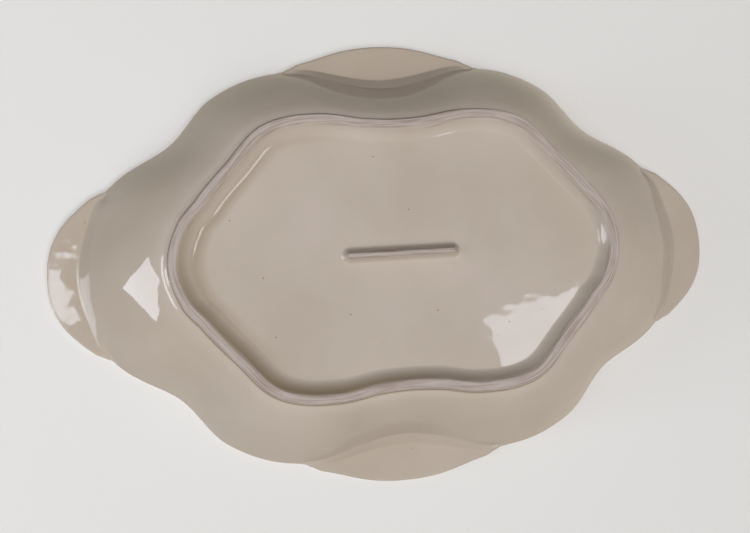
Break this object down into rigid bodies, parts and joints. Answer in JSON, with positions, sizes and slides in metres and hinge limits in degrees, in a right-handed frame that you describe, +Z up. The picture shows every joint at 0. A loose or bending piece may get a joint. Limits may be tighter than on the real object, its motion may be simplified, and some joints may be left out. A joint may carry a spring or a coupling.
{
  "type": "porcelain platter",
  "caption": "Wavy oval porcelain serving platter with a deep well, flat flange handles at its ends and sides, a waved foot ring and a short foot bar under the base.",
  "frame": {"origin": "centre of the platter on the plane that its foot stands on", "axes": "+X along the long axis to one end handle, +Y to one side handle, +Z up out of the well"},
  "size_m": [0.305, 0.202, 0.04],
  "materials": {
    "ivory_glaze": "clear gloss glaze over ivory porcelain",
    "foot_clay": "glazed sides with a ground, bare crest"
  },
  "bodies": {
    "root": {"dish_body": "ivory_glaze", "end_handle_left": "ivory_glaze", "end_handle_right": "ivory_glaze", "side_handle_front": "ivory_glaze", "side_handle_back": "ivory_glaze", "foot_ring": "foot_clay", "foot_bar": "foot_clay"}
  },
  "joints": []
}
